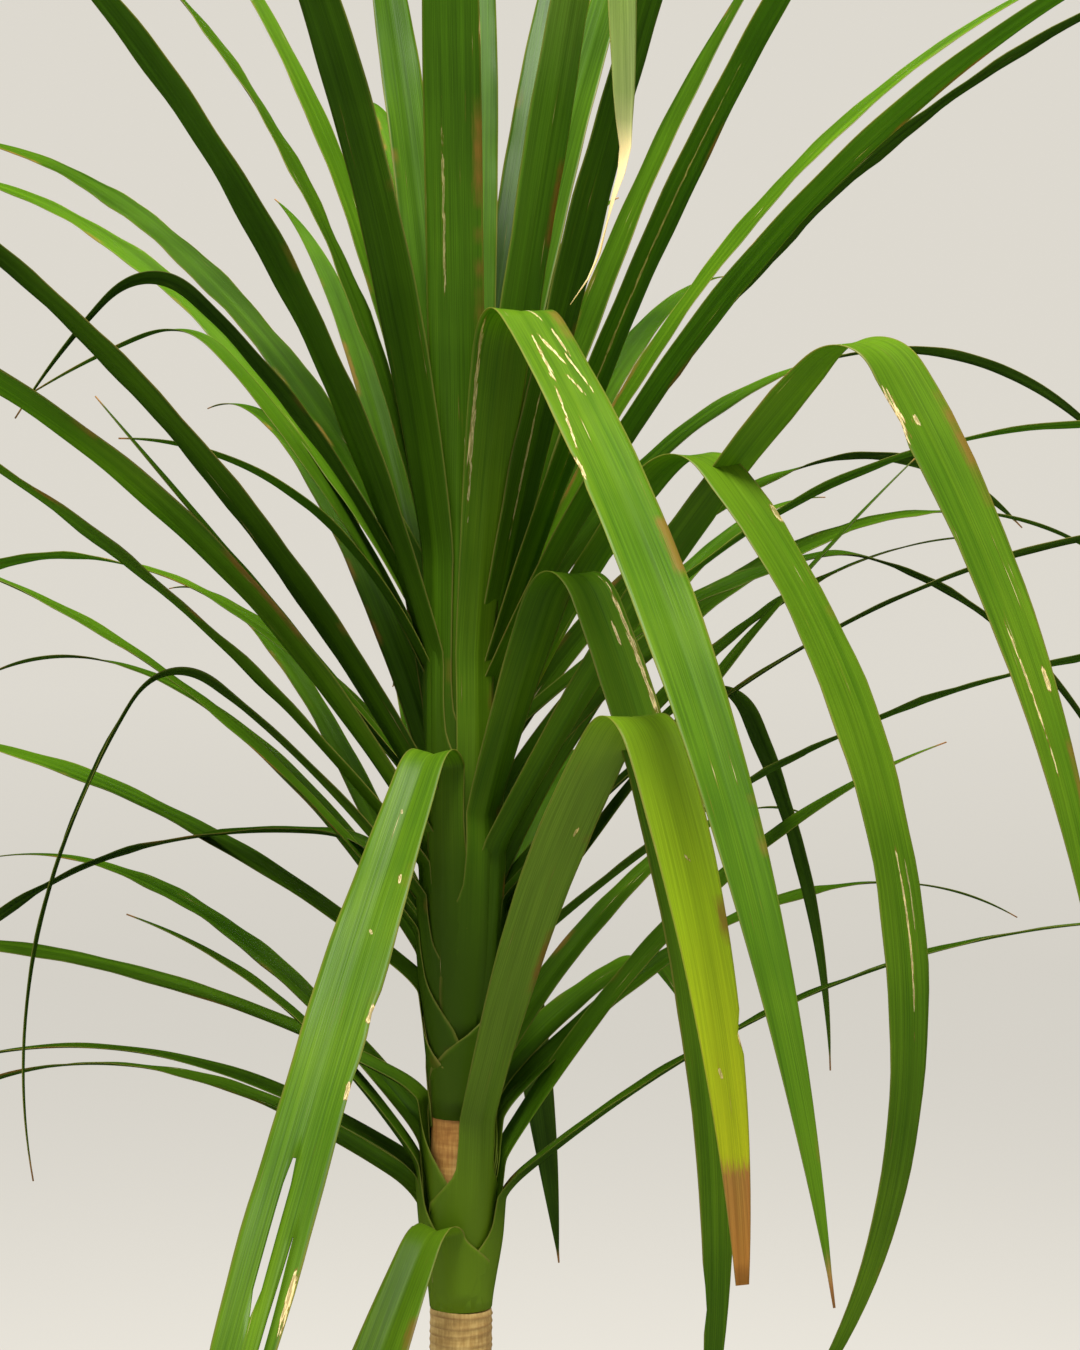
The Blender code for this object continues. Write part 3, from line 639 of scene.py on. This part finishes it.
def leaf_finish(name, marks=(), ageing=None):
    """Waxy green blade. Each mark is a dry scar: from and to in mm along the blade, its place across it at
    both ends, its half width and its strength. ageing gives colours along the blade in place of the green."""
    made, tree, shader, place = new_finish(name, 0.42, 0.17)

    def reading(attribute):
        return add(tree, "Attribute", attribute_name=attribute).outputs["Fac"]

    across, midrib, along, tip, tone_and_painted_light = (reading(n) for n in ("across", "from_midrib", "along", "tip", "tone_and_painted_light"))

    def stretched(over, down, scale, detail, shift):
        spot = add(tree, "CombineXYZ", {"X": sums(tree, "MULTIPLY", midrib, over), "Y": sums(tree, "MULTIPLY", along, down),
                                        "Z": sums(tree, "MULTIPLY", tone_and_painted_light, shift)})
        return grain(tree, spot.outputs[0], scale, detail, 0.5)

    veins = stretched(1.0, 0.006, 2.2, 2.0, 37.0)
    pleats = stretched(0.22, 0.003, 1.0, 2.0, 91.0)
    cloudy = grain(tree, place, 9.0, 3.0)
    scratches = stretched(0.55, 0.010, 1.6, 3.0, 53.0)
    ragged = sums(tree, "SUBTRACT", stretched(1.3, 0.11, 1.0, 3.0, 11.0), 0.5)
    # bright mixes each leaf's painted light and shade with random cloudiness and pleats.
    bright = sums(tree, "ADD", sums(tree, "MULTIPLY", tone_and_painted_light, 0.34), sums(tree, "ADD", sums(tree, "MULTIPLY", cloudy, 0.50),
                                                                       sums(tree, "MULTIPLY", pleats, 0.35)))
    green = ramp(tree, bright, (0.32, GREENS["shade"]), (0.62, GREENS["body"]), (0.95, GREENS["fresh_and_lit"]))
    if ageing:
        uneven = sums(tree, "ADD", tip, sums(tree, "MULTIPLY", ragged, 0.03))
        green = blend(tree, ramp(tree, pleats, (0.3, 0.80), (0.7, 1.0)), green, ramp(tree, uneven, *ageing))
    green = blend(tree, 0.50, green, ramp(tree, veins, (0.36, 0.30), (0.64, 0.72)), "SOFT_LIGHT")
    # Leaf bases go to a sheath green. Bases higher up the stem are painted darker, as painted shade inside the crown.
    foot = ramp(tree, sums(tree, "DIVIDE", along, 100.0), (0.0, 1.0), (0.30, 0.75), (0.75, 0.0))
    green = blend(tree, foot, green, blend(tree, reading("painted_base_shade"), GREENS["old_base"], GREENS["painted_shade_base"]))
    rim = sums(tree, "MULTIPLY", ramp(tree, sums(tree, "ABSOLUTE", across), (0.925, 0.0), (0.985, 1.0)),
               ramp(tree, cloudy, (0.35, 0.25), (0.65, 0.85)))
    green = blend(tree, rim, green, GREENS["margin"])
    dry = ramp(tree, scratches, (0.735, 0.0), (0.765, 0.8))
    rusty = ramp(tree, scratches, (0.70, 0.0), (0.74, 0.6))
    for first, last, start, end, half, strength in marks:
        share = sums(tree, "DIVIDE", sums(tree, "SUBTRACT", along, first), last - first)
        down = sums(tree, "ABSOLUTE", sums(tree, "MULTIPLY", sums(tree, "SUBTRACT", share, 0.5), 2.0))
        line = sums(tree, "ADD", sums(tree, "MULTIPLY", share, end - start), start)
        sideways = sums(tree, "DIVIDE", sums(tree, "SUBTRACT", across, line), half)
        far = sums(tree, "ADD", sums(tree, "MULTIPLY", sideways, sideways), sums(tree, "POWER", down, 3.0))
        far = sums(tree, "ADD", far, sums(tree, "MULTIPLY", ragged, 4.5))
        pale = ramp(tree, far, (0.0, 0.35), (0.14, 1.0), (0.50, 1.0), (0.66, 0.0))
        dry = sums(tree, "MAXIMUM", dry, sums(tree, "MULTIPLY", pale, strength))
        rusty = sums(tree, "MAXIMUM", rusty, sums(tree, "MULTIPLY", ramp(tree, far, (0.78, 1.0), (1.0, 0.0)), strength * 0.75))
    lengthways = grain(tree, add(tree, "CombineXYZ", {"X": sums(tree, "MULTIPLY", along, 0.014), "Y": sums(tree, "MULTIPLY", tone_and_painted_light, 61.0)}).outputs[0], 1.0, 3.0)
    margin_rust = sums(tree, "MULTIPLY", ramp(tree, sums(tree, "ADD", across, sums(tree, "MULTIPLY", ragged, 0.35)), (0.62, 0.0), (0.80, 1.0)),
                       ramp(tree, lengthways, (0.575, 0.0), (0.64, 0.75)))
    rusty = sums(tree, "MAXIMUM", rusty, margin_rust)
    green = blend(tree, rusty, green, GREENS["scar_rim"])
    green = blend(tree, dry, green, GREENS["scar"])
    dead = ramp(tree, sums(tree, "ADD", tip, sums(tree, "MULTIPLY", veins, 0.02)), (0.985, 0.0), (1.0, 1.0))
    green = blend(tree, dead, green, GREENS["dead"])
    green = blend(tree, reading("dried"), green, blend(tree, pleats, (0.50, 0.40, 0.20), (0.78, 0.70, 0.48)))
    tree.links.new(green, shader.inputs["Base Color"])
    rough = ramp(tree, sums(tree, "MAXIMUM", dry, dead), (0.0, 0.42), (1.0, 0.85))
    tree.links.new(rough, shader.inputs["Roughness"])
    relief(tree, shader, sums(tree, "ADD", veins, sums(tree, "MULTIPLY", pleats, 1.6)), 0.22, 0.0005)
    # Less light comes through low-tone leaves. This is painted shade that dims the back and upright leaves.
    glow = blend(tree, 1.0, green, (2.4, 2.2, 1.2), "MULTIPLY")
    glow = blend(tree, 1.0, glow, ramp(tree, tone_and_painted_light, (0.0, 0.35), (0.25, 0.60), (0.50, 1.0)), "MULTIPLY")
    through = add(tree, "BsdfTranslucent", {"Color": glow})
    mixed = add(tree, "MixShader", {0: 0.32, 1: shader.outputs[0], 2: through.outputs[0]})
    tree.links.new(mixed.outputs[0], tree.nodes["Material Output"].inputs["Surface"])
    return made


AGEING = {
    "yellowing_leaf": ((0.0, (0.110, 0.200, 0.012)), (0.46, (0.165, 0.260, 0.030)), (0.56, (0.200, 0.330, 0.010)),
                       (0.70, (0.310, 0.430, 0.010)), (0.865, (0.400, 0.440, 0.012)), (0.875, (0.360, 0.190, 0.050)),
                       (0.94, (0.430, 0.200, 0.045))),
    "top_folded_leaf": ((0.0, (0.060, 0.140, 0.004)), (0.55, (0.080, 0.170, 0.010)), (0.72, (0.200, 0.290, 0.070)),
                        (0.85, (0.280, 0.340, 0.120))),
}
MARKS = {
    "long_hanging_leaf": ((180, 286, -0.74, -0.80, 0.07, 0.55), (286, 312, 0.10, 0.30, 0.035, 1.0), (318, 344, 0.45, 0.56, 0.05, 1.0),
                          (340, 374, 0.40, 0.66, 0.04, 1.0), (324, 350, -0.10, 0.25, 0.06, 1.0), (326, 372, -0.30, -0.40, 0.06, 1.0),
                          (366, 418, -0.42, -0.74, 0.045, 1.0), (360, 376, 0.12, 0.36, 0.05, 0.9), (424, 440, -0.95, -0.95, 0.12, 0.9)),
    "torn_leaf": ((263, 274, 0.90, 0.94, 0.12, 1.0), (304, 314, 0.92, 0.96, 0.12, 1.0), (190, 196, 0.55, 0.62, 0.07, 1.0),
                  (394, 422, 0.86, 0.90, 0.10, 1.0), (150, 153, -0.2, -0.1, 0.05, 0.8), (222, 225, 0.1, 0.2, 0.05, 0.8)),
    "yellowing_leaf": ((250, 256, 0.3, 0.35, 0.07, 0.8), (420, 424, 0.0, 0.1, 0.06, 0.8), (512, 517, -0.3, -0.2, 0.07, 0.8),
                       (498, 505, 0.88, 0.92, 0.10, 1.0)),
    "inner_hanging_leaf": ((236, 330, 0.76, 0.88, 0.09, 0.8), (262, 276, 0.30, 0.35, 0.07, 0.9)),
    "right_hanging_leaf": ((488, 572, 0.20, 0.32, 0.045, 0.9), (496, 540, 0.52, 0.56, 0.03, 0.5), (318, 330, 0.9, 0.95, 0.12, 0.7)),
    "far_right_hanging_leaf": ((430, 458, -0.84, -0.88, 0.16, 1.0), (548, 620, -0.35, -0.20, 0.05, 1.0), (572, 584, 0.60, 0.62, 0.10, 0.9),
                               (446, 452, -0.3, -0.3, 0.12, 0.8)),
    "striped_leaf": ((180, 400, -0.10, -0.20, 0.06, 0.45),),
    "upright_leaf_1": ((225, 320, -0.35, -0.35, 0.05, 0.45), (130, 160, 0.3, 0.3, 0.04, 0.4)),
    "upright_leaf_2": ((150, 230, -0.30, -0.30, 0.05, 0.55),),
}
SLITS = {"torn_leaf": ((-0.10, 332, 408, 3.6), (0.50, 376, 520, 2.4))}
NICKS = {"torn_leaf": ((1, 310, 1.8, 9), (1, 268, 1.3, 6)), "yellowing_leaf": ((1, 500, 2.2, 7),),
         "long_hanging_leaf": ((-1, 432, 1.6, 8),),
         "far_right_hanging_leaf": ((-1, 445, 3.0, 14),), "inner_hanging_leaf": ((-1, 580, 4.0, 9),)}
DRY_TIPS = {"top_folded_leaf": 520}
TURNS = {"far_right_hanging_leaf": 30, "right_hanging_leaf": 8}

chance = random.Random(58)
plain_finish = leaf_finish("leaf_green")
foliage = []
for leaf_name, leaf in FRONT_LEAVES.items():
    # Hanging, folded leaves take a lighter range as painted light; upright ones take a darker range as painted shade.
    tone_and_painted_light_range = (0.70, 0.92) if leaf.fold else (0.22, 0.48)
    blade = blade_mesh(leaf_name, leaf, chance, tone_and_painted_light_range, True, SLITS.get(leaf_name, ()), NICKS.get(leaf_name, ()),
                       DRY_TIPS.get(leaf_name, 0), TURNS.get(leaf_name, 0))
    own = leaf_name in MARKS or leaf_name in AGEING
    blade.data.materials.append(leaf_finish(leaf_name, MARKS.get(leaf_name, ()), AGEING.get(leaf_name)) if own else plain_finish)
    foliage.append(blade)
for number, values in enumerate(SIDE_LEAVES):
    blade = blade_mesh("side_leaf_%02d" % (number + 1), Leaf(*values), chance, (0.0, 0.6))
    blade.data.materials.append(plain_finish)
    foliage.append(blade)
for number, leaf in enumerate(back_leaves()):
    # Back leaves take the darkest range: painted shade at the back of the crown.
    blade = blade_mesh("back_leaf_%02d" % (number + 1), leaf, chance, (0.0, 0.25))
    blade.data.materials.append(plain_finish)
    foliage.append(blade)
for blade in foliage:
    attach(blade, "root")
    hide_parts("crown")


# STAGE, LIGHT AND CAMERA
# A pale studio cove that rises all round, lit softly from above and a little from behind, as by a
# skylight. The camera is level with the middle of the crown.
STAGE_PROFILE = ((7.0, 0.0), (7.9, 0.12), (8.7, 0.6), (9.3, 1.5), (9.5, 2.6), (9.6, 6.0))

bpy.ops.object.select_all(action="DESELECT")
bpy.ops.mesh.primitive_circle_add(vertices=96, radius=STAGE_PROFILE[0][0], fill_type="NGON", location=(0, 0, 0))
cove = bpy.context.object
cove.name = "studio_cove"
bpy.ops.object.mode_set(mode="EDIT")
bpy.ops.mesh.select_mode(type="EDGE")
bpy.ops.mesh.select_all(action="SELECT")
radius, height = STAGE_PROFILE[0]
for wider, higher in STAGE_PROFILE[1:]:
    bpy.ops.mesh.select_all(action="DESELECT")
    bpy.ops.object.mode_set(mode="OBJECT")
    for edge in cove.data.edges:
        ends = [cove.data.vertices[c].co for c in edge.vertices]
        edge.select = all(abs(end.z - height) < 0.0001 and abs(end.xy.length - radius) < 0.01 for end in ends)
    bpy.ops.object.mode_set(mode="EDIT")
    bpy.ops.mesh.extrude_edges_move(TRANSFORM_OT_translate={"value": (0, 0, higher - height)})
    bpy.ops.transform.resize(value=(wider / radius, wider / radius, 1), center_override=(0, 0, higher))
    radius, height = wider, higher
bpy.ops.mesh.select_all(action="SELECT")
bpy.ops.mesh.normals_make_consistent(inside=True)
bpy.ops.object.mode_set(mode="OBJECT")
bpy.ops.object.shade_smooth()
stage_look, stage_tree, stage_shader, stage_place = new_finish("stage_paper", 0.95, 0.1)
stage_shader.inputs["Base Color"].default_value = (0.150, 0.144, 0.131, 1.0)
stage_shader.inputs["Emission Color"].default_value = (0.716, 0.686, 0.624, 1.0)
stage_height = add(stage_tree, "SeparateXYZ", {"Vector": stage_place}).outputs["Z"]
stage_tree.links.new(ramp(stage_tree, stage_height, (0.0, 0.775), (0.9, 0.86)), stage_shader.inputs["Emission Strength"])
cove.data.materials.append(stage_look)
cove.visible_glossy = False
stage_look.cycles.emission_sampling = "NONE"

world = bpy.data.worlds.new("soft_sky")
bpy.context.scene.world = world
world.use_nodes = True
world.node_tree.nodes["Background"].inputs["Color"].default_value = (0.95, 0.98, 1.0, 1.0)
world.cycles_visibility.glossy = False
world.node_tree.nodes["Background"].inputs["Strength"].default_value = 0.7


def soft_light(name, place, target, size, power, colour, glossy):
    lamp = bpy.data.lights.new(name, "AREA")
    lamp.shape = "DISK"
    lamp.size = size
    lamp.energy = power
    lamp.color = colour
    holder = bpy.data.objects.new(name, lamp)
    bpy.context.scene.collection.objects.link(holder)
    holder.location = place
    holder.rotation_euler = (Vector(target) - Vector(place)).to_track_quat("-Z", "Y").to_euler()
    holder.visible_camera = False
    holder.visible_glossy = glossy


soft_light("front_skylight", (-0.05, -0.85, 3.0), (0, 0, 0.95), 0.9, 105, (1.0, 0.99, 0.94), True)
soft_light("back_skylight", (0.25, 1.25, 2.75), (0, 0, 1.05), 1.2, 105, (1.0, 0.98, 0.93), False)

view = bpy.data.cameras.new("photo_view")
view.sensor_width = 36.0
view.lens = 64.6
camera = bpy.data.objects.new("photo_view", view)
bpy.context.scene.collection.objects.link(camera)
camera.location = (0.0408, -1.25, CROWN_FOOT + 0.325)
camera.rotation_euler = (math.radians(90), 0, 0)
view.clip_start, view.clip_end = 0.02, 60
bpy.context.scene.camera = camera
bpy.context.scene.view_settings.view_transform = "Standard"
